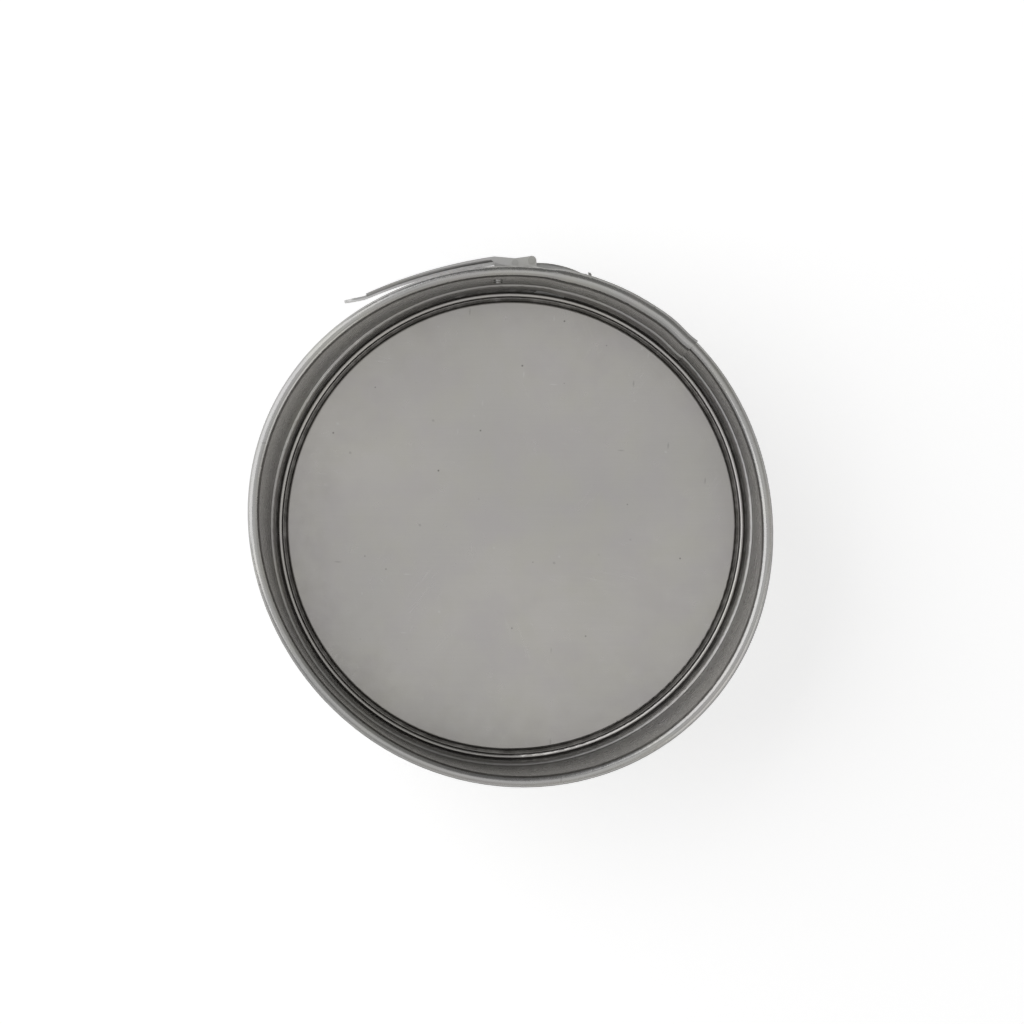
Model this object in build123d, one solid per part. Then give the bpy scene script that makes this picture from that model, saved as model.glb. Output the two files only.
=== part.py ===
from build123d import *
import math
import os

# A springform cake tin of 20 cm. Millimetres and degrees. +Z is up, the origin is on the tin's axis at the
# level that the hoop stands on, and turns are counted anticlockwise from +X, seen from above.

# Hoop: one strip of sheet, bent to a ring
sheet = 0.5
hoop_height = 68.0
wall_foot_radius = 99.4
rim_flare = 0.3
groove_step = 0.4
rib_depth = 1.95
lip_width = 4.1
foot_trim = 0.05
groove_level = 4.0
shoulder_level = 10.2
bead_width = 4.45
bead_angle = 285
foot_bend = 1.0
rib_bend = 1.0
shoulder_bend = 0.9
rib_slope = 50
face_slope = 7
shoulder_slope = 18

rim_inner_radius = wall_foot_radius + rim_flare
groove_inner_radius = wall_foot_radius - groove_step
crest_inner_radius = wall_foot_radius - rib_depth
lip_inner_radius = groove_inner_radius - lip_width

# The rim is out of round: waves of one to four lobes round the ring
rim_sway = 1.77
sway_shares = (0.32, 1.0, 0.44, 0.2)
sway_turns = (-81, -39.5, 51, -33)

# Overlap of the hoop's two ends: the inner end's curl wraps the outer end's
end_turn = 44.5
lap_angle = 32.5
joggle_angle = 5.5
lap_gap = 0.1
wrap_angle = 225
trimmed_lip = 0.2
lap_stations = 8
lap_crowding_share = 1.6
joggle_stations = 5
joggle_start_share = 0.1

# Beyond the joggle the foot lip grows back to its full width: shares of one ring angle, and of the lip
lip_taper_shares = ((0.08, 0.0), (0.2, 0.5), (0.35, 1.0), (0.6, 1.0))
ring_angle = 12

# Base plate: it drops in past the rib, and lies a little off centre, away from the overlap
base_sheet = 0.6
base_play = 0.45
base_shift = 0.3
base_rim_width = 2.4
base_groove_width = 2.05
disc_top = 4.0
disc_bend = 0.45
disc_edge_slope = 80
base_rim_angle = 275
base_seat_gap = 0.05
base_radius = crest_inner_radius - base_play
disc_radius = base_radius - base_rim_width - base_groove_width

# Latch: where its pivots are and how its parts stack up from the middle
pivot_reach = 7.2
pivot_turn = 85.7
latch_level = 34.0
latch_sheet = 0.8
seat_gap = 0.05
ear_inner_half = 9.0
ear_gap = 0.3
link_side_play = 1.0
link_half_width = ear_inner_half - link_side_play

# Lever
link_pin_back = 6.6
link_pin_drop = 1.4
channel_back = 15.1
channel_drop = 1.6
channel_start_angle = 191.4
channel_curve = 191.5
channel_angle = 16.0
channel_depth = 2.2
channel_end_depth = 1.4
channel_end_half = 6.6
channel_fold = 0.7
channel_stations = 5
tip_bend = 12.0
tip_angle = 12
tip_length = 7.0
tip_half = 5.6
tip_corner = 4.0
ear_radius = 1.9

# Pins and rivets
pivot_shank = 0.9
link_pin_shank = 0.8
rivet_shank = 1.2
head_overhang = 0.6
head_height = 0.6
inner_head_height = 0.4
hole_play = 0.05

# Link strap
link_sheet = 0.7
barrel_play = 0.05
barrel_angle = 300
link_start_angle = 17
link_curve = 40.0
link_bend_angle = 38
window_length = 3.6
window_rail = 3.0
window_half = link_half_width - window_rail
bar_bend = 0.8
bar_angle = 215

# Bracket plate, catch plate and its lip
bracket_start_turn = 83.6
bracket_end_turn = 95.6
rivet_turn = 93.2
rivet_half_spacing = 8.0
plate_corner = 1.5
ear_root_spread = 3.0
ear_root_radius = 1.2
catch_angle = 8.6
catch_half = link_half_width
overhang_angle = 0.05
lip_corner = 1.5
lip_play = 0.8
lip_side_play = 0.8
lip_half = window_half - lip_side_play
lip_proud = 0.9
plate_stations = 4

# One overrun for cuts
overrun = 4.0


def polar(radius, turn):
    return radius * math.cos(math.radians(turn)), radius * math.sin(math.radians(turn))


class SheetPath:
    """Middle line of a bent sheet in its own plane, made of flats and bends."""

    def __init__(self, x, y, heading):
        self.x = x
        self.y = y
        self.heading = heading
        self.steps = []

    def normal(self, heading):
        return -math.sin(math.radians(heading)), math.cos(math.radians(heading))

    def flat(self, length):
        self.steps.append((self.x, self.y, self.heading, length, 0, 0))
        self.x += length * math.cos(math.radians(self.heading))
        self.y += length * math.sin(math.radians(self.heading))

    def shift_of(self, radius, angle):
        side = math.copysign(1, angle)
        nx, ny = self.normal(self.heading)
        mx, my = self.normal(self.heading + angle)
        return side * radius * (nx - mx), side * radius * (ny - my)

    def bend(self, radius, angle):
        dx, dy = self.shift_of(radius, angle)
        self.steps.append((self.x, self.y, self.heading, 0, radius, angle))
        self.x += dx
        self.y += dy
        self.heading += angle

    def reach_x(self, x, radius=0, angle=0):
        """Flat, then a bend, so that the bend ends at x."""
        dx, dy = self.shift_of(radius, angle)
        self.flat((x - self.x - dx) / math.cos(math.radians(self.heading)))
        if angle:
            self.bend(radius, angle)

    def reach_y(self, y, radius=0, angle=0):
        """Flat, then a bend, so that the bend ends at y."""
        dx, dy = self.shift_of(radius, angle)
        self.flat((y - self.y - dy) / math.sin(math.radians(self.heading)))
        if angle:
            self.bend(radius, angle)

    def side(self, offset):
        """Edges at one offset to the left of the middle line."""
        edges = []
        for x, y, heading, length, radius, angle in self.steps:
            nx, ny = self.normal(heading)
            start = (x + offset * nx, y + offset * ny)
            if radius:
                turn = math.copysign(1, angle)
                centre = (x + turn * radius * nx, y + turn * radius * ny)
                reach = turn * radius - offset
                points = [start]
                for part in (angle / 2, angle):
                    px, py = self.normal(heading + part)
                    points.append((centre[0] - reach * px, centre[1] - reach * py))
                edges.append(Edge.make_three_point_arc(*points))
            else:
                cx = length * math.cos(math.radians(heading))
                cy = length * math.sin(math.radians(heading))
                edges.append(Edge.make_line(start, (start[0] + cx, start[1] + cy)))
        return edges

    def outline(self, thickness, shift=0):
        """Face of the sheet, moved to the left of the middle line by shift."""
        left = self.side(shift + thickness / 2)
        right = self.side(shift - thickness / 2)
        caps = [Edge.make_line(left[0] @ 0, right[0] @ 0), Edge.make_line(left[-1] @ 1, right[-1] @ 1)]
        return Face(Wire(left + right + caps))


def radial_plane(turn):
    """Plane through the tin's axis: its x runs outwards at this turn and its y runs up."""
    c, s = polar(1, turn)
    return Plane(origin=(0, 0, 0), x_dir=(c, s, 0), z_dir=(s, -c, 0))


# Hoop

bead_bend = (bead_width - sheet) / 2


def rim_offset(turn):
    total = 0
    for lobes, (share, peak) in enumerate(zip(sway_shares, sway_turns), start=1):
        total += rim_sway * share * math.cos(math.radians(lobes * (turn - peak)))
    return total


def wall_lean(turn):
    """Angle by which the wall leans out at this turn."""
    rise = hoop_height - bead_width / 2 - shoulder_level
    return math.degrees(math.atan((rim_inner_radius + rim_offset(turn) - wall_foot_radius) / rise))


def hoop_foot(turn, lip_radius):
    """Middle line from the foot lip up to where the wall starts."""
    path = SheetPath(lip_radius, sheet / 2 - foot_trim, 0)
    path.reach_x(groove_inner_radius + sheet / 2, foot_bend, 90)
    path.reach_y(groove_level, rib_bend, rib_slope)
    path.reach_x(crest_inner_radius + sheet / 2, rib_bend, -rib_slope)
    path.bend(shoulder_bend, -face_slope)
    path.reach_y(shoulder_level, shoulder_bend, face_slope + shoulder_slope - 90)
    path.reach_x(wall_foot_radius + sheet / 2, shoulder_bend, 90 - shoulder_slope - wall_lean(turn))
    return path


def wall_outside(turn, level):
    """Radius of the wall's outer face at a turn and a level."""
    foot = hoop_foot(turn, lip_inner_radius)
    return foot.x + sheet / 2 + (level - foot.y) * math.tan(math.radians(wall_lean(turn)))


def hoop_section(turn, lip_radius, roll, shift):
    path = hoop_foot(turn, lip_radius)
    lean = math.sin(math.radians(wall_lean(turn)))
    path.reach_y(hoop_height - sheet / 2 - bead_bend * (1 - lean))
    path.bend(bead_bend, -roll)
    return radial_plane(turn) * path.outline(sheet, shift)


def hoop_sections():
    """Sections from the inner end, through the joggle and round to the outer end."""
    lap_turn = end_turn + lap_angle
    joggle_turn = lap_turn + joggle_angle * joggle_start_share
    free_turn = lap_turn + joggle_angle
    last_turn = lap_turn + 360
    tuck = sheet + lap_gap
    stub_radius = groove_inner_radius + sheet / 2 - foot_bend - trimmed_lip
    sections = []
    for i in range(lap_stations):
        turn = joggle_turn - (joggle_turn - end_turn) * (1 - i / lap_stations) ** lap_crowding_share
        sections.append(hoop_section(turn, stub_radius, wrap_angle, tuck))
    for i in range(joggle_stations + 1):
        share = i / joggle_stations
        ease = share * share * (3 - 2 * share)
        turn = joggle_turn + (free_turn - joggle_turn) * share
        roll = wrap_angle + (bead_angle - wrap_angle) * ease
        sections.append(hoop_section(turn, stub_radius, roll, tuck * (1 - ease)))
    for step_share, lip_share in lip_taper_shares:
        turn = free_turn + ring_angle * step_share
        lip = stub_radius + (lip_inner_radius - stub_radius) * lip_share
        sections.append(hoop_section(turn, lip, bead_angle, 0))
    first_turn = free_turn + ring_angle
    ring_count = round((last_turn - first_turn) / ring_angle)
    for i in range(ring_count + 1):
        turn = first_turn + (last_turn - first_turn) * i / ring_count
        sections.append(hoop_section(turn, lip_inner_radius, bead_angle, 0))
    return sections


def make_hoop():
    """Strip from end to end, its foot dressed flat where it stands, with the holes for the bracket's rivets."""
    hoop = loft(hoop_sections())
    hoop -= Pos(0, 0, -overrun / 2) * Cylinder(wall_foot_radius + overrun, overrun)
    for level in rivet_levels():
        hoop -= rivet_plane(level) * Cylinder(rivet_shank + hole_play, overrun)
    return hoop


# Base plate

def make_base():
    """Disc, groove ring and curled rim, turned about one axis and set down away from the overlap."""
    floor = sheet - foot_trim + base_seat_gap + base_sheet / 2
    curl = (base_rim_width - base_sheet) / 2
    path = SheetPath(0, disc_top - base_sheet / 2, 0)
    path.reach_x(disc_radius, disc_bend, -disc_edge_slope)
    path.reach_y(floor, disc_bend, disc_edge_slope)
    path.reach_x(base_radius - base_rim_width + base_sheet / 2, disc_bend, 90)
    path.reach_y(floor + curl)
    path.bend(curl, -base_rim_angle)
    plate = revolve(Plane.XZ * path.outline(base_sheet), Axis.Z)
    return Pos(*polar(-base_shift, end_turn + lap_angle / 2)) * plate


# Latch frame: origin at the lever's pivot, x along the wall to the catch, y outwards, z up

pivot_radius = wall_outside(pivot_turn, latch_level) + pivot_reach
pivot_x, pivot_y = polar(pivot_radius, pivot_turn)
latch = Plane(origin=(pivot_x, pivot_y, latch_level),
              x_dir=(math.sin(math.radians(pivot_turn)), -math.cos(math.radians(pivot_turn)), 0), z_dir=(0, 0, 1))


def slab(face, low, high):
    """Solid in the latch frame from a plan face, between two levels."""
    return latch * (Pos(0, 0, low) * extrude(face, high - low, dir=(0, 0, 1)))


def mirrored(face, low, high):
    """The same plan face above and below the latch's middle."""
    return slab(face, low, high) + slab(face, -high, -low)


def disc(x, y, radius):
    return Edge.make_circle(radius, Plane((x, y, 0)))


def round_bar(x, y, radius, low, high):
    return slab(Pos(x, y) * Circle(radius), low, high)


ear_outer_half = ear_inner_half + latch_sheet
bracket_ear_low = ear_outer_half + ear_gap
bracket_half = bracket_ear_low + latch_sheet


def wall_block(first_turn, last_turn, half, inner_step, thickness):
    """Block that follows the leaning wall: inner face inner_step outside it, even thickness."""
    sections = []
    for i in range(plate_stations):
        turn = first_turn + (last_turn - first_turn) * i / (plate_stations - 1)
        corners = []
        for level, step in ((-half, 0), (-half, thickness), (half, thickness), (half, 0)):
            radius = wall_outside(turn, latch_level + level) + inner_step + step
            corners.append((radius, latch_level + level))
        sections.append(radial_plane(turn) * Face(Wire.make_polygon(corners)))
    return loft(sections)


def wall_clearance(turn, half):
    """Block inside the plates' inner face, to trim what is joined to a plate near this turn."""
    spread = math.degrees(2 * overrun / pivot_radius)
    return wall_block(turn - spread, turn + spread, half + overrun, seat_gap - overrun, overrun)


def wall_plate(first_turn, last_turn, half):
    """Curved plate on the wall with rounded corners."""
    middle = (first_turn + last_turn) / 2
    length = 2 * pivot_radius * math.tan(math.radians((last_turn - first_turn) / 2))
    c, s = polar(1, middle)
    across = Plane(origin=(0, 0, latch_level), x_dir=(-s, c, 0), z_dir=(c, s, 0))
    stamp = across * extrude(RectangleRounded(length, 2 * half, plate_corner), pivot_radius + overrun)
    spare = math.degrees(overrun / pivot_radius)
    return stamp & wall_block(first_turn - spare, last_turn + spare, half + overrun, seat_gap, latch_sheet)


# Lever

def channel_station(share):
    """Plan point of the web's middle line and its heading, at a share of the channel's length."""
    path = SheetPath(-channel_back, -channel_drop + latch_sheet / 2, channel_start_angle)
    if share:
        path.bend(channel_curve, channel_angle * share)
    return path.x, path.y, path.heading


def channel_section(share):
    """Section of the channel: flange, web and flange, open outwards."""
    x, y, heading = channel_station(share)
    depth = channel_depth + (channel_end_depth - channel_depth) * share
    half = ear_outer_half + (channel_end_half - ear_outer_half) * share - latch_sheet / 2
    tip = depth - latch_sheet / 2
    path = SheetPath(tip, half, 180)
    path.reach_x(0, channel_fold, 90)
    path.reach_y(-half, channel_fold, 90)
    path.reach_x(tip)
    out_x = math.sin(math.radians(heading))
    out_y = -math.cos(math.radians(heading))
    plane = Plane(origin=(x, y, 0), x_dir=(out_x, out_y, 0), z_dir=(out_y, -out_x, 0))
    return plane * path.outline(latch_sheet)


def lever_ear():
    """Plan of one ear: from the channel's end past the link pin to the pivot."""
    start_x, start_y, heading = channel_station(0)
    root = channel_depth / 2
    neck_y = start_y - latch_sheet / 2 + root
    pin = (-link_pin_back, -link_pin_drop)
    back = make_hull([disc(start_x, neck_y, root), disc(*pin, ear_radius)])
    front = make_hull([disc(*pin, ear_radius), disc(0, 0, ear_radius)])
    return back + front


def make_lever():
    sections = []
    for i in range(channel_stations):
        sections.append(channel_section(i / (channel_stations - 1)))
    lever = latch * loft(sections)
    lever += mirrored(lever_ear(), ear_inner_half, ear_outer_half)
    tip = SheetPath(*channel_station(1))
    tip.bend(tip_bend, -tip_angle)
    tip.flat(tip_length)
    tab = slab(tip.outline(latch_sheet), -tip_half, tip_half)
    far = tab.edges().filter_by(lambda edge: edge.length < latch_sheet + hole_play).sort_by_distance(
        latch.from_local_coords((tip.x, tip.y, 0)))
    lever += fillet(far[0:2], tip_corner)
    for x, y, shank in ((0, 0, pivot_shank), (-link_pin_back, -link_pin_drop, link_pin_shank)):
        lever -= round_bar(x, y, shank + hole_play, -bracket_half, bracket_half)
    return lever


def make_pivot_rivets():
    """Two short rivets, one through each pair of ears, clear of the link between them."""
    head = pivot_shank + head_overhang
    inner = ear_inner_half - inner_head_height
    solids = []
    rivet = round_bar(0, 0, pivot_shank, ear_inner_half - inner_head_height, bracket_half + hole_play)
    rivet += round_bar(0, 0, head, inner - hole_play, ear_inner_half - hole_play)
    rivet += round_bar(0, 0, head, bracket_half + hole_play, bracket_half + head_height)
    solids.append(rivet)
    solids.append(rivet.mirror(latch))
    return Compound(children=solids)


def make_link_pin():
    x, y = -link_pin_back, -link_pin_drop
    head = link_pin_shank + head_overhang
    pin = round_bar(x, y, link_pin_shank, -ear_outer_half - hole_play, ear_outer_half + hole_play)
    low = ear_outer_half + hole_play
    return pin + mirrored(Pos(x, y) * Circle(head), low, low + head_height)


# Link

barrel_bend = link_pin_shank + barrel_play + link_sheet / 2


def link_path():
    """Plan line of the strap: round its pin, along the arch, then the window and the bar."""
    start = link_start_angle - barrel_angle
    path = SheetPath(0, 0, start)
    nx, ny = path.normal(start)
    path.x = -link_pin_back - barrel_bend * nx
    path.y = -link_pin_drop - barrel_bend * ny
    path.bend(barrel_bend, barrel_angle)
    path.bend(link_curve, -link_bend_angle)
    return path


def window_frame():
    """Plane on the strap where its window starts: x along the strap, y outwards."""
    path = link_path()
    c, s = polar(1, path.heading)
    return latch * Plane(origin=(path.x, path.y, 0), x_dir=(c, s, 0), z_dir=(0, 0, 1)).location


def make_link():
    path = link_path()
    path.flat(window_length)
    path.bend(bar_bend, bar_angle)
    strap = slab(path.outline(link_sheet), -link_half_width, link_half_width)
    cutter = Pos(window_length / 2, 0, 0) * Box(window_length, overrun, 2 * window_half)
    return strap - Plane(window_frame()) * cutter


# Bracket and catch

def bracket_ear():
    """Plan of one bracket ear, from the wall out to the pivot."""
    root_y = wall_outside(pivot_turn, latch_level) + seat_gap + latch_sheet / 2 - pivot_radius
    roots = [disc(x, root_y, ear_root_radius) for x in (-ear_root_spread, ear_root_spread - ear_root_radius)]
    return make_hull(roots + [disc(0, 0, ear_radius)])


def rivet_levels():
    return latch_level - rivet_half_spacing, latch_level + rivet_half_spacing


def rivet_plane(level):
    """Plane on the wall's middle at a rivet, with z outwards and square to the leaning wall."""
    lean = math.radians(wall_lean(rivet_turn))
    c, s = polar(1, rivet_turn)
    x, y = polar(wall_outside(rivet_turn, level) - sheet / 2, rivet_turn)
    normal = (c * math.cos(lean), s * math.cos(lean), -math.sin(lean))
    return Plane(origin=(x, y, level), x_dir=(-s, c, 0), z_dir=normal)


def make_bracket():
    plate = wall_plate(bracket_start_turn, bracket_end_turn, bracket_half)
    ears = mirrored(bracket_ear(), bracket_ear_low, bracket_half)
    bracket = plate + (ears - wall_clearance(pivot_turn, bracket_half))
    for level in rivet_levels():
        bracket -= rivet_plane(level) * Cylinder(rivet_shank + hole_play, overrun)
    return bracket - round_bar(0, 0, pivot_shank + hole_play, -bracket_half - overrun, bracket_half + overrun)


def make_bracket_rivets():
    """Two rivets with a domed head outside and a flattened head inside."""
    solids = []
    head = rivet_shank + head_overhang
    inner = -sheet / 2 - 2 * hole_play
    outer = sheet / 2 + seat_gap + latch_sheet + 2 * hole_play
    for level in rivet_levels():
        rivet = Pos(0, 0, inner) * Cylinder(rivet_shank, outer - inner, align=(Align.CENTER, Align.CENTER, Align.MIN))
        foot = Pos(0, 0, inner - inner_head_height / 2) * Cylinder(head, inner_head_height)
        dome = Pos(0, 0, outer + head_height / 2) * Cylinder(head, head_height)
        dome = fillet(dome.edges().group_by(Axis.Z)[-1], head_height * 2 / 3)
        solids.append(rivet_plane(level) * (rivet + foot + dome))
    return Compound(children=solids)


def make_catch():
    """Plate on the outer end's wall, with a lip that stands up through the link's window."""
    frame = window_frame()
    lip_along = window_length - lip_play - latch_sheet / 2
    lip = Plane(frame).from_local_coords(Vector(lip_along, 0, 0))
    lip_turn = math.degrees(math.atan2(lip.Y, lip.X))
    lip_radius = math.hypot(lip.X, lip.Y) + link_sheet / 2 + lip_proud
    plate_radius = wall_outside(lip_turn, latch_level) + seat_gap + latch_sheet / 2
    plate_turn = lip_turn + math.degrees(latch_sheet / 2 / plate_radius) - overhang_angle
    plate = wall_plate(plate_turn - catch_angle, plate_turn, catch_half)
    length = lip_radius - plate_radius + lip_corner
    stamp = Pos(lip_radius - length / 2, latch_level) * RectangleRounded(length, 2 * lip_half, lip_corner)
    standing = extrude(radial_plane(lip_turn) * stamp, latch_sheet / 2, both=True)
    return plate + (standing - wall_clearance(lip_turn, catch_half))


makers = {
    "hoop": make_hoop,
    "base_plate": make_base,
    "lever_bracket": make_bracket,
    "bracket_rivets": make_bracket_rivets,
    "lever": make_lever,
    "pivot_rivets": make_pivot_rivets,
    "link": make_link,
    "link_pin": make_link_pin,
    "catch_plate": make_catch,
}

os.makedirs("parts", exist_ok=True)
for name, make in makers.items():
    shape = make()
    export_step(shape, f"parts/{name}.step")
    size = shape.bounding_box().size
    print(f"{name:16s} {size.X:7.2f} {size.Y:7.2f} {size.Z:7.2f}  volume {shape.volume:9.1f}")
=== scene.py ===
# %% [markdown]
# # A round cake tin with a spring clip
# The tin is one bent strip of sheet steel, the hoop, that an over-centre clip pulls shut round a loose base
# plate. The solids already have the right size and place. This script gives them their finish, stands them on a
# white floor, and lights and frames them as a shop photograph taken from straight above does.

# %% Start from the solids
import math

import bmesh
import bpy
from mathutils import Matrix, Vector


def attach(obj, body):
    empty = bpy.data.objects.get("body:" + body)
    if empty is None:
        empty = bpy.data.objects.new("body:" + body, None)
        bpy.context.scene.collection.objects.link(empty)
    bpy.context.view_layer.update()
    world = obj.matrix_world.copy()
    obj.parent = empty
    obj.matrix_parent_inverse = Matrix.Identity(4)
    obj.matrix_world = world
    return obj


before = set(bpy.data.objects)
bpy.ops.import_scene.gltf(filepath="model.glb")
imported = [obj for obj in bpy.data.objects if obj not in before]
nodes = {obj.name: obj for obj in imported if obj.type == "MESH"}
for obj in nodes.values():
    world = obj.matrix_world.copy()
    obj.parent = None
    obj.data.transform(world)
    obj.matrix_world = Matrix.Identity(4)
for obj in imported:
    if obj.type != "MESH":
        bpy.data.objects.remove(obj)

mm = 0.001
scene = bpy.context.scene
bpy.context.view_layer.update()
print("nodes:", ", ".join(sorted(nodes)))

# %% [markdown]
# ## Camera
# The picture looks down on the open tin from well above it, so the walls show as a narrow ring round the base. The
# height above the rim follows from how much smaller the base looks than the rim. The camera stands a little to
# the lower left of the tin's axis and leans by half a degree, which is why the wall shows a bit wider on one side.

# %% Camera
rim_level = 68 * mm
camera_height = 1443 * mm
camera_stand = Vector((-3.6 * mm, -9.6 * mm))
camera_aim = Vector((0.0, 4.7 * mm))
focal_length = 128

camera_data = bpy.data.cameras.new("camera")
camera_data.lens = focal_length
camera_data.clip_end = 20
camera = bpy.data.objects.new("camera", camera_data)
scene.collection.objects.link(camera)
camera.location = (*camera_stand, rim_level + camera_height)
lean = camera_aim - camera_stand
camera.rotation_euler = (math.atan2(lean.y, camera_height), -math.atan2(lean.x, camera_height), 0)
scene.camera = camera
print("camera leans", round(math.degrees(lean.length / camera_height), 2), "degrees")

# %% [markdown]
# ## Helpers for materials
# A material is a small graph of nodes. Two helpers keep the graphs readable: one adds a node and sets its values
# by name, the other makes a named group, whose sockets are declared on the group's interface.

# %% Helpers for materials
def add(tree, kind, values=(), **settings):
    node = tree.nodes.new(kind)
    for name, value in settings.items():
        setattr(node, name, value)
    for socket, value in dict(values).items():
        if isinstance(value, bpy.types.NodeSocket):
            tree.links.new(value, node.inputs[socket])
        else:
            node.inputs[socket].default_value = value
    return node


def maths(tree, operation, *values):
    return add(tree, "ShaderNodeMath", dict(enumerate(values)), operation=operation).outputs[0]


def spread(tree, value, low, high, to_low=0.0, to_high=1.0):
    """Map a value from one range to another and stop at its ends."""
    places = {"Value": value, "From Min": low, "From Max": high, "To Min": to_low, "To Max": to_high}
    return add(tree, "ShaderNodeMapRange", places).outputs[0]


def blended(tree, share, first, second):
    mix = add(tree, "ShaderNodeMix", {0: share, 6: first, 7: second}, data_type="RGBA")
    return mix.outputs[2]


def new_group(name, inputs, outputs):
    """Shader node group with float inputs and their first values, and float outputs."""
    group = bpy.data.node_groups.new(name, "ShaderNodeTree")
    for label, value in inputs.items():
        socket = group.interface.new_socket(name=label, in_out="INPUT", socket_type="NodeSocketFloat")
        socket.default_value = value
    for label in outputs:
        group.interface.new_socket(name=label, in_out="OUTPUT", socket_type="NodeSocketFloat")
    return group, group.nodes.new("NodeGroupInput"), group.nodes.new("NodeGroupOutput")


def use_group(tree, group, **values):
    node = tree.nodes.new("ShaderNodeGroup")
    node.node_tree = group
    for label, value in values.items():
        node.inputs[label.replace("_", " ")].default_value = value
    return node


# %% [markdown]
# ## White floor
# The tin stands on plain white paper. Lamps strong enough to turn the paper white would burn out the metal. So for
# the rays that the camera and the metal see, part of the paper's light is its own, and the rest is lit and keeps
# the shadow. Down in a narrow gap real paper is dark, and the Ambient Occlusion node takes the glow away there.

# %% White floor
floor_radius = 6.0
floor_sides = 96
floor_glow_share = 0.62
narrow_gap = 6 * mm
gap_rays = 8
gap_contrast = 2.0
paper_white = (0.8, 0.8, 0.8, 1)
floor_mesh = bpy.data.meshes.new("floor")
bm = bmesh.new()
bmesh.ops.create_circle(bm, cap_ends=True, segments=floor_sides, radius=floor_radius)
bm.to_mesh(floor_mesh)
bm.free()
floor = bpy.data.objects.new("floor", floor_mesh)
scene.collection.objects.link(floor)


def seen_rays(tree):
    """One for the rays of the camera and of metal and glass, zero for the rays that only carry light."""
    path = add(tree, "ShaderNodeLightPath")
    sharp = maths(tree, "MAXIMUM", path.outputs["Is Glossy Ray"], path.outputs["Is Transmission Ray"])
    return maths(tree, "MAXIMUM", path.outputs["Is Camera Ray"], sharp)


paper = bpy.data.materials.new("white_paper")
paper.use_nodes = True
tree = paper.node_tree
tree.nodes.clear()
lit = add(tree, "ShaderNodeBsdfDiffuse", {"Color": paper_white})
openness = add(tree, "ShaderNodeAmbientOcclusion", {"Distance": narrow_gap}, samples=gap_rays).outputs["AO"]
openness = maths(tree, "POWER", openness, gap_contrast)
glow = add(tree, "ShaderNodeEmission", {"Strength": maths(tree, "MULTIPLY", openness, floor_glow_share)})
sum_of_both = add(tree, "ShaderNodeAddShader")
tree.links.new(lit.outputs[0], sum_of_both.inputs[0])
tree.links.new(glow.outputs[0], sum_of_both.inputs[1])
seen = add(tree, "ShaderNodeMixShader", {0: seen_rays(tree)})
tree.links.new(lit.outputs[0], seen.inputs[1])
tree.links.new(sum_of_both.outputs[0], seen.inputs[2])
add(tree, "ShaderNodeOutputMaterial", {"Surface": seen.outputs[0]})
paper.cycles.emission_sampling = "NONE"
floor_mesh.materials.append(paper)
print("floor:", floor_radius, "m in radius, glows at", floor_glow_share)

# %% [markdown]
# ## Surroundings
# Bare metal has next to no colour of its own: it shows what stands round it. The rim is a small round bar, so it
# mirrors the whole room in a few millimetres, and tells where the room is bright. The big lamp makes the upper
# left bright by itself, and its light adds to the room behind it. The world's colour gives the rest: a ramp over
# the compass is fairly light on the right and along the bottom, dim behind the lamp, and darkest at the top. It
# blends into an even grey overhead. Matt surfaces get one plain level instead, and the camera sees white.

# %% Surroundings
even_light = (0.25, 0.25, 0.25, 1)
overhead_light = (0.72, 0.72, 0.715, 1)
white = (1, 1, 1, 1)
# A dim side reaches further up before the overhead grey starts than a bright one. The heights are those of the
# direction's tip, for a dim side and for a bright one.
dim_side, bright_side = 0.25, 0.45
fade_from_heights = (0.9, 0.7)
fade_to_heights = (0.99, 0.93)
side_lights = {
    -180: (0.24, 0.24, 0.25), -135: (0.48, 0.48, 0.48), -90: (0.56, 0.55, 0.53), -45: (0.50, 0.49, 0.47),
    0: (0.58, 0.57, 0.55), 45: (0.27, 0.27, 0.26), 90: (0.17, 0.17, 0.17), 128: (0.28, 0.28, 0.29),
    180: (0.24, 0.24, 0.25),
}
world = bpy.data.worlds.new("studio")
scene.world = world
world.use_nodes = True
world.cycles.sampling_method = "NONE"
tree = world.node_tree
tree.nodes.clear()
direction = add(tree, "ShaderNodeTexCoord").outputs["Generated"]
parts = add(tree, "ShaderNodeSeparateXYZ", {0: direction}).outputs
around = maths(tree, "ARCTAN2", parts[1], parts[0])
compass = add(tree, "ShaderNodeValToRGB", {0: spread(tree, around, -math.pi, math.pi)})
ramp = compass.color_ramp
ramp.interpolation = "EASE"
for turn, colour in side_lights.items():
    place = (turn + 180) / 360
    stop = ramp.elements[0 if place == 0 else -1] if place in (0, 1) else ramp.elements.new(place)
    stop.color = (*colour, 1)
side_level = add(tree, "ShaderNodeSeparateColor", {0: compass.outputs[0]}).outputs[1]
fade_from = spread(tree, side_level, dim_side, bright_side, *fade_from_heights)
fade_to = spread(tree, side_level, dim_side, bright_side, *fade_to_heights)
overhead = spread(tree, parts[2], fade_from, fade_to)
mirrored = blended(tree, overhead, compass.outputs[0], overhead_light)
mirrored = blended(tree, add(tree, "ShaderNodeLightPath").outputs["Is Camera Ray"], mirrored, white)
sky = add(tree, "ShaderNodeBackground", {"Color": blended(tree, seen_rays(tree), even_light, mirrored)})
add(tree, "ShaderNodeOutputWorld", {"Surface": sky.outputs[0]})
print("surroundings:", [(round(stop.position * 360 - 180), round(stop.color[1], 2)) for stop in ramp.elements])

# %% [markdown]
# ## Lamps
# The shadow falls to the lower right and is soft, so the main lamp is a large soft box at the upper left. It is wide
# rather than strong, because its mirror image runs along the rim and may not turn into a white streak. A weak
# box on the right lifts the shaded side.

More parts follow.
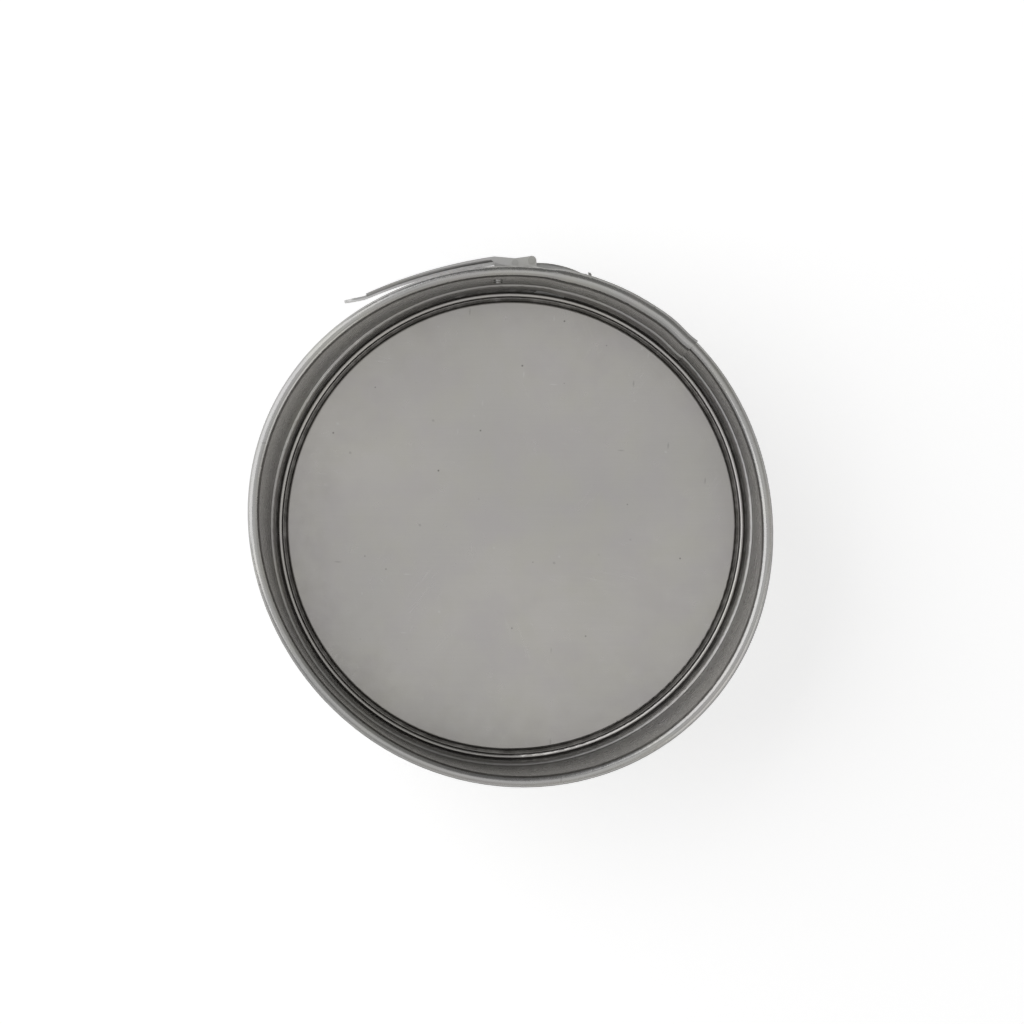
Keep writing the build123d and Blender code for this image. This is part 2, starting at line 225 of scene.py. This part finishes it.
# %% Lamps
def soft_box(name, place, width, height, watts):
    """Rectangular lamp that faces the foot of the tin's axis."""
    data = bpy.data.lights.new(name, "AREA")
    data.shape = "RECTANGLE"
    data.size = width
    data.size_y = height
    data.energy = watts
    lamp = bpy.data.objects.new(name, data)
    lamp.location = place
    lamp.rotation_euler = (-Vector(place)).to_track_quat("-Z", "Y").to_euler()
    scene.collection.objects.link(lamp)
    print(name, "shines", round(watts / (math.pi * width * height), 2), "per unit of its face")


soft_box("key_light", place=(-1.53, 0.62, 1.2), width=2.6, height=2.6, watts=24)
soft_box("side_light", place=(1.3, -0.9, 0.8), width=1.2, height=1.0, watts=2.5)

scene.view_settings.view_transform = "Standard"

# %% [markdown]
# ## Marks that all the metal shares
# Rolled sheet has a fine grain that runs one way, washing and cutting leave hairline scratches, and the tinned
# surface takes faint cloudy stains. Each of these is one node group, placed in every material with its own values.

# %% Grain of rolled sheet
def sheet_place(tree, round_the_axis):
    """Place on the sheet: x and y of the object, or long round the tin's axis and fine across."""
    place = add(tree, "ShaderNodeTexCoord").outputs["Object"]
    if not round_the_axis:
        return place
    parts = add(tree, "ShaderNodeSeparateXYZ", {0: place}).outputs
    flat = add(tree, "ShaderNodeCombineXYZ", {0: parts[0], 1: parts[1]}).outputs[0]
    radius = add(tree, "ShaderNodeVectorMath", {0: flat}, operation="LENGTH").outputs["Value"]
    across = maths(tree, "ADD", radius, parts[2])
    return add(tree, "ShaderNodeCombineXYZ", {0: parts[0], 1: parts[1], 2: across}).outputs[0]


def make_grain(name, round_the_axis):
    group, given, out = new_group(name, {"Lines per metre": 1800.0, "Length share": 0.01}, ["Grain"])
    place = sheet_place(group, round_the_axis)
    fine = given.outputs["Lines per metre"]
    long = maths(group, "MULTIPLY", fine, given.outputs["Length share"])
    if round_the_axis:
        scale = add(group, "ShaderNodeCombineXYZ", {0: long, 1: long, 2: fine})
    else:
        scale = add(group, "ShaderNodeCombineXYZ", {0: long, 1: fine, 2: fine})
    stretched = add(group, "ShaderNodeVectorMath", {0: place, 1: scale.outputs[0]}, operation="MULTIPLY")
    noise = add(group, "ShaderNodeTexNoise", {"Vector": stretched.outputs[0], "Scale": 1.0, "Detail": 3.0})
    group.links.new(noise.outputs[0], out.inputs["Grain"])
    return group


straight_grain = make_grain("straight_grain", False)
round_grain = make_grain("round_grain", True)
print("groups:", straight_grain.name, round_grain.name)

# %% Stains, pits and scratches
fine_cloud_ratio = 14.0
pit_edge, pit_end = 0.05, 0.12
scratch_turns = (12, 71, 128)
scratch_length_share = 0.06
scratch_half_width = 0.009
scratch_patches_per_metre = 30.0
bare_patch, scratched_patch = 0.58, 0.68
# Turn in degrees, cells per metre along a dash, and cells per metre across it.
dash_layers = ((3, 70, 330), (94, 80, 300), (40, 170, 210))
dash_edge, dash_end = 0.05, 0.14
light_dash_part = 0.55


def make_clouds():
    group, given, out = new_group("clouds", {"Spots per metre": 12.0}, ["Cloud", "Fine cloud"])
    place = add(group, "ShaderNodeTexCoord").outputs["Object"]
    large = add(group, "ShaderNodeTexNoise",
                {"Vector": place, "Scale": given.outputs[0], "Detail": 2.0, "Roughness": 0.5})
    small_scale = maths(group, "MULTIPLY", given.outputs[0], fine_cloud_ratio)
    small = add(group, "ShaderNodeTexNoise",
                {"Vector": place, "Scale": small_scale, "Detail": 6.0, "Roughness": 0.65})
    group.links.new(spread(group, large.outputs[0], 0.3, 0.7), out.inputs["Cloud"])
    group.links.new(spread(group, small.outputs[0], 0.25, 0.75), out.inputs["Fine cloud"])
    return group


def make_pits():
    group, given, out = new_group("pits", {"Pits per metre": 230.0, "Kept share": 0.05}, ["Pit"])
    place = add(group, "ShaderNodeTexCoord").outputs["Object"]
    cells = add(group, "ShaderNodeTexVoronoi", {"Vector": place, "Scale": given.outputs[0]})
    number = add(group, "ShaderNodeSeparateColor", {0: cells.outputs["Color"]}).outputs[0]
    kept = maths(group, "LESS_THAN", number, given.outputs["Kept share"])
    dot = spread(group, cells.outputs["Distance"], pit_edge, pit_end, 1.0, 0.0)
    group.links.new(maths(group, "MULTIPLY", kept, dot), out.inputs["Pit"])
    return group


def make_scratches():
    group, given, out = new_group("scratches", {"Lines per metre": 400.0, "Kept share": 0.5}, ["Scratch"])
    place = add(group, "ShaderNodeTexCoord").outputs["Object"]
    total = None
    for turn in scratch_turns:
        turned = add(group, "ShaderNodeMapping", {"Vector": place, "Rotation": (0, 0, math.radians(turn))})
        long = maths(group, "MULTIPLY", given.outputs[0], scratch_length_share)
        scale = add(group, "ShaderNodeCombineXYZ", {0: long, 1: given.outputs[0], 2: given.outputs[0]})
        stretched = add(group, "ShaderNodeVectorMath", {0: turned.outputs[0], 1: scale.outputs[0]},
                        operation="MULTIPLY")
        line = add(group, "ShaderNodeTexNoise", {"Vector": stretched.outputs[0], "Scale": 1.0, "Detail": 1.0})
        thin = maths(group, "ABSOLUTE", maths(group, "SUBTRACT", line.outputs[0], 0.5))
        line = spread(group, thin, 0.0, scratch_half_width, 1.0, 0.0)
        patch = add(group, "ShaderNodeTexNoise",
                    {"Vector": turned.outputs[0], "Scale": scratch_patches_per_metre, "Detail": 1.0})
        kept = spread(group, patch.outputs[0], bare_patch, scratched_patch)
        line = maths(group, "MULTIPLY", line, kept)
        total = line if total is None else maths(group, "MAXIMUM", total, line)
    group.links.new(maths(group, "MULTIPLY", total, given.outputs["Kept share"]), out.inputs["Scratch"])
    return group


def make_dashes():
    """Short knife marks and rubbed spots: stretched cells, of which a few keep a dash, light or dark."""
    group, given, out = new_group("dashes", {"Kept share": 0.1}, ["Light dash", "Dark dash"])
    place = add(group, "ShaderNodeTexCoord").outputs["Object"]
    light = dark = None
    for turn, along, across in dash_layers:
        turned = add(group, "ShaderNodeMapping", {"Vector": place, "Rotation": (0, 0, math.radians(turn))})
        stretched = add(group, "ShaderNodeVectorMath", {0: turned.outputs[0], 1: (along, across, across)},
                        operation="MULTIPLY")
        cells = add(group, "ShaderNodeTexVoronoi", {"Vector": stretched.outputs[0], "Scale": 1.0})
        lots = add(group, "ShaderNodeSeparateColor", {0: cells.outputs["Color"]}).outputs
        kept = maths(group, "LESS_THAN", lots[0], given.outputs[0])
        spot = spread(group, cells.outputs["Distance"], dash_edge, dash_end, 1.0, 0.0)
        dash = maths(group, "MULTIPLY", kept, spot)
        is_light = maths(group, "LESS_THAN", lots[1], light_dash_part)
        light_dash = maths(group, "MULTIPLY", dash, is_light)
        dark_dash = maths(group, "SUBTRACT", dash, light_dash)
        light = light_dash if light is None else maths(group, "MAXIMUM", light, light_dash)
        dark = dark_dash if dark is None else maths(group, "MAXIMUM", dark, dark_dash)
    group.links.new(light, out.inputs["Light dash"])
    group.links.new(dark, out.inputs["Dark dash"])
    return group


def make_heat_tint():
    """Faint yellow and violet patches that an oven leaves on tinned sheet."""
    group, given, out = new_group("heat_tint", {"Patches per metre": 45.0}, ["Yellow", "Violet"])
    place = add(group, "ShaderNodeTexCoord").outputs["Object"]
    for label, start in (("Yellow", 0.0), ("Violet", 5.0)):
        moved = add(group, "ShaderNodeVectorMath", {0: place, 1: (start, start, start)}, operation="ADD")
        patch = add(group, "ShaderNodeTexNoise",
                    {"Vector": moved.outputs[0], "Scale": given.outputs[0], "Detail": 3.0, "Roughness": 0.6})
        group.links.new(spread(group, patch.outputs[0], 0.45, 0.65), out.inputs[label])
    return group


clouds = make_clouds()
dashes = make_dashes()
heat_tint = make_heat_tint()
pits = make_pits()
scratches = make_scratches()

# %% [markdown]
# ## Painted shade
# A dark, dull colour is painted where shade falls: in the groove round the base, at the hoop's foot, and in the
# line under the rolled rim. Each of these places is a band of one measure, the distance from the base's axis or
# the level up the wall, so the masks need no painted texture or UV map.

# %% Painted shade
base_centre = (-0.147 * mm, -0.262 * mm)
# Band of radius where the groove round the base gets painted shade.
groove_band = (92.6 * mm, 94.2 * mm)
groove_soft = 0.35 * mm
# Painted shade on the hoop: under the rib at the foot, lower down the wall and in the line under the rim.
under_rib_levels = (4.2 * mm, 5.2 * mm)
under_rib_shade = 0.95
wall_levels = (10.0 * mm, 45.0 * mm)
wall_shade = 0.3
rim_line_levels = (63.8 * mm, 66.9 * mm)
rim_line_soft = 0.4 * mm
rim_levels = (63.0 * mm, 64.0 * mm)
# The rim's outer side is where the face looks away from the axis by these cosines.
rim_outer_cosines = (0.62, 0.92)
# The rim's outer side is painted lighter towards the lit upper left. The painted shade on it goes from the first
# share to the second there.
lit_side = (-0.92, 0.38, 0.0)
lit_side_cosines = (0.5, 0.95)
lit_side_shade = (0.9, 0.25)
# Share of the other painted shade that stays on faces that look outwards.
outer_face_cosines = (0.0, 0.3)
outer_face_shade = 0.25


def band(tree, value, low, high, soft):
    """One between low and high, and zero a soft edge beyond them."""
    rising = spread(tree, value, low - soft, low)
    falling = spread(tree, value, high, high + soft, 1.0, 0.0)
    return maths(tree, "MULTIPLY", rising, falling)


def object_parts(tree):
    return add(tree, "ShaderNodeSeparateXYZ", {0: add(tree, "ShaderNodeTexCoord").outputs["Object"]}).outputs


def groove_painted_shade(tree):
    """Painted shade in the groove between the base's disc and its curled rim."""
    parts = object_parts(tree)
    east = maths(tree, "SUBTRACT", parts[0], base_centre[0])
    north = maths(tree, "SUBTRACT", parts[1], base_centre[1])
    flat = add(tree, "ShaderNodeCombineXYZ", {0: east, 1: north}).outputs[0]
    radius = add(tree, "ShaderNodeVectorMath", {0: flat}, operation="LENGTH").outputs["Value"]
    return band(tree, radius, *groove_band, groove_soft)


def hoop_painted_shade(tree):
    """Painted shade under the rib, thinning out up the wall, in the line under the rim and on the rim's outer side.
    """
    parts = object_parts(tree)
    under_rib = spread(tree, parts[2], *under_rib_levels, under_rib_shade, 0.0)
    wall = spread(tree, parts[2], *wall_levels, wall_shade, 0.0)
    line = band(tree, parts[2], *rim_line_levels, rim_line_soft)
    flat = add(tree, "ShaderNodeCombineXYZ", {0: parts[0], 1: parts[1]}).outputs[0]
    outwards = add(tree, "ShaderNodeVectorMath", {0: flat}, operation="NORMALIZE").outputs[0]
    facing = add(tree, "ShaderNodeNewGeometry").outputs["Normal"]
    outer = add(tree, "ShaderNodeVectorMath", {0: facing, 1: outwards}, operation="DOT_PRODUCT").outputs["Value"]
    toward_lit_side = add(tree, "ShaderNodeVectorMath", {0: outwards, 1: lit_side},
                  operation="DOT_PRODUCT").outputs["Value"]
    # The rim's outer side gets painted shade, less of it towards the lit upper left.
    rim = maths(tree, "MULTIPLY", spread(tree, outer, *rim_outer_cosines), spread(tree, parts[2], *rim_levels))
    rim = maths(tree, "MULTIPLY", rim, spread(tree, toward_lit_side, *lit_side_cosines, *lit_side_shade))
    inside = spread(tree, outer, *outer_face_cosines, 1.0, outer_face_shade)
    painted_shade = maths(tree, "MAXIMUM", maths(tree, "MAXIMUM", under_rib, wall), line)
    return maths(tree, "MAXIMUM", maths(tree, "MULTIPLY", painted_shade, inside), rim)


def no_painted_shade(tree):
    return None


# The painted shade sits in the groove, at the foot and under the rim.
print("film in the groove, at the foot and under the rim")

# %% [markdown]
# ## Steel
# All pieces are the same dull tinned steel. One function builds the material, with the metal's tone, grain, stains,
# specks and scratches in their order on the real sheet, and each piece gives it its own values. The shader's own
# sockets hold what is the same all over a piece, so that the finish also survives an export.

# %% Steel
speck_colour = (0.06, 0.055, 0.05, 1)
scratch_colour = (0.7, 0.7, 0.69, 1)
# Colour of the painted shade.
painted_shade_colour = (0.085, 0.08, 0.072, 1)
yellow_tint = (0.52, 0.51, 0.455, 1)
violet_tint = (0.5, 0.475, 0.49, 1)
fine_stain_share = 0.2
tint_share = 0.35
light_dash_share = 0.3
dark_dash_share = 0.22
pit_share = 0.6
scratch_share = 0.2
painted_shade_share = 0.8
# The painted shade is thinner where the fine cloud is low: cloud levels, and the share of it left at each.
patchy_shade_clouds = (0.1, 0.6)
patchy_shade_left = (0.65, 1.0)
rough_sway = 0.05
scratch_roughness = -0.08
painted_shade_roughness = 0.2
scratch_relief = -0.6
pit_relief = -1.0
relief_height = 0.01 * mm


def steel(name, dark, light, grain, roughness, painted_shade=no_painted_shade, bump=0.25, grain_share=0.35):
    material = bpy.data.materials.new(name)
    material.use_nodes = True
    tree = material.node_tree
    shader = tree.nodes["Principled BSDF"]
    shader.inputs["Metallic"].default_value = 1.0
    grained = use_group(tree, grain)
    cloudy = use_group(tree, clouds)
    pitted = use_group(tree, pits)
    scratched = use_group(tree, scratches)
    marked = use_group(tree, dashes)
    tinted = use_group(tree, heat_tint)
    streaks = spread(tree, grained.outputs[0], 0.3, 0.7)
    stains = maths(tree, "MULTIPLY", cloudy.outputs[0], 1 - fine_stain_share - grain_share)
    tone = maths(tree, "MULTIPLY_ADD", streaks, grain_share, stains)
    tone = maths(tree, "MULTIPLY_ADD", cloudy.outputs[1], fine_stain_share, tone)
    colour = blended(tree, tone, dark, light)
    layers = (
        (tinted.outputs[0], tint_share, yellow_tint), (tinted.outputs[1], tint_share, violet_tint),
        (marked.outputs[0], light_dash_share, scratch_colour), (marked.outputs[1], dark_dash_share, speck_colour),
        (pitted.outputs[0], pit_share, speck_colour), (scratched.outputs[0], scratch_share, scratch_colour),
    )
    for mask, share, layer_colour in layers:
        colour = blended(tree, maths(tree, "MULTIPLY", mask, share), colour, layer_colour)
    rough = spread(tree, cloudy.outputs[1], 0, 1, roughness - rough_sway, roughness + rough_sway)
    rough = maths(tree, "MULTIPLY_ADD", scratched.outputs[0], scratch_roughness, rough)
    # Painted shade from the piece's mask: darker and duller where shade falls.
    shade_mask = painted_shade(tree)
    if shade_mask:
        thinned = spread(tree, cloudy.outputs[1], *patchy_shade_clouds, *patchy_shade_left)
        patchy = maths(tree, "MULTIPLY", shade_mask, thinned)
        colour = blended(tree, maths(tree, "MULTIPLY", patchy, painted_shade_share), colour, painted_shade_colour)
        rough = maths(tree, "MULTIPLY_ADD", patchy, painted_shade_roughness, rough)
    tree.links.new(colour, shader.inputs["Base Color"])
    tree.links.new(rough, shader.inputs["Roughness"])
    height = maths(tree, "MULTIPLY_ADD", scratched.outputs[0], scratch_relief, grained.outputs[0])
    height = maths(tree, "MULTIPLY_ADD", pitted.outputs[0], pit_relief, height)
    bumped = add(tree, "ShaderNodeBump", {"Height": height, "Strength": bump, "Distance": relief_height})
    tree.links.new(bumped.outputs[0], shader.inputs["Normal"])
    return material


base_steel = steel("base_steel", (0.485, 0.475, 0.46, 1), (0.585, 0.565, 0.54, 1), straight_grain, 0.31, groove_painted_shade,
                   bump=0.12, grain_share=0.12)
hoop_steel = steel("hoop_steel", (0.40, 0.40, 0.395, 1), (0.58, 0.575, 0.56, 1), round_grain, 0.26, hoop_painted_shade,
                   bump=0.4, grain_share=0.6)
lever_steel = steel("lever_steel", (0.45, 0.45, 0.445, 1), (0.60, 0.60, 0.59, 1), straight_grain, 0.32, bump=0.35)
# Painted shade: the strap and the catch are coloured dark for the shadow under the rim.
strap_shade_steel = steel("strap_shade_steel", (0.15, 0.15, 0.148, 1), (0.27, 0.27, 0.262, 1), straight_grain, 0.34, bump=0.35)
rivet_steel = steel("rivet_steel", (0.36, 0.36, 0.355, 1), (0.46, 0.46, 0.45, 1), straight_grain, 0.3)
print("finishes:", ", ".join(m.name for m in (base_steel, hoop_steel, lever_steel, strap_shade_steel, rivet_steel)))

# %% [markdown]
# ## Finish of each piece
# The sheet of the hoop was drawn through rollers, so its grain runs round the tin. Base and latch were stamped from
# flat sheet, whose grain runs straight. The link's strap and the catch get a darker colour than the lever: painted
# shade for the shadow under the rolled rim, where they sit. A solid may bring its own material slots, so each slot
# gets the finish.

# %% Finish of each piece
finishes = {
    "hoop": hoop_steel, "base_plate": base_steel, "lever_bracket": lever_steel, "bracket_rivets": rivet_steel,
    "lever": lever_steel, "pivot_rivets": rivet_steel, "link": strap_shade_steel, "link_pin": rivet_steel,
    "catch_plate": strap_shade_steel,
}
for name, material in finishes.items():
    piece = nodes[name]
    for place in range(max(len(piece.data.materials), 1)):
        if len(piece.data.materials) == 0:
            piece.data.materials.append(material)
        else:
            piece.data.materials[place] = material
    print(name, len(piece.data.polygons), "triangles")

# %% [markdown]
# ## Spot welds
# Two spot welds hold the catch on the hoop. Each leaves a shallow round nugget, where the electrode pressed. It
# stands up by a fraction of a millimetre, so it is a real shape. A ray shot from outside finds the plate's face
# and its slope, and a flat cone with rounded edges is set half into it there.

# %% Spot welds
weld_turn = 69
weld_levels = (29.5 * mm, 38.5 * mm)
weld_radius = 1.5 * mm
weld_height = 0.3 * mm
weld_top_share = 0.8
weld_sides = 36
weld_edge = 0.05 * mm
sharp_edge_angle = 20
ray_start = 130 * mm
c, s = math.cos(math.radians(weld_turn)), math.sin(math.radians(weld_turn))
bm = bmesh.new()
for level in weld_levels:
    start = Vector((c * ray_start, s * ray_start, level))
    hit, spot, normal, _ = nodes["catch_plate"].ray_cast(start, Vector((-c, -s, 0)))
    if not hit:
        continue
    place = Matrix.Translation(spot) @ normal.to_track_quat("Z", "Y").to_matrix().to_4x4()
    bmesh.ops.create_cone(bm, cap_ends=True, segments=weld_sides, radius1=weld_radius,
                          radius2=weld_radius * weld_top_share, depth=weld_height, matrix=place)
    print("weld at", [round(v / mm, 1) for v in spot])
rim_edges = [edge for edge in bm.edges if edge.calc_face_angle() > math.radians(sharp_edge_angle)]
bmesh.ops.bevel(bm, geom=rim_edges, affect="EDGES", offset=weld_edge, segments=2, profile=0.5, material=-1)
weld_mesh = bpy.data.meshes.new("spot_welds")
bm.to_mesh(weld_mesh)
bm.free()
weld_mesh.materials.append(strap_shade_steel)
spot_welds = bpy.data.objects.new("spot_welds", weld_mesh)
scene.collection.objects.link(spot_welds)
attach(spot_welds, "tin")
print("spot_welds", len(weld_mesh.polygons), "faces")
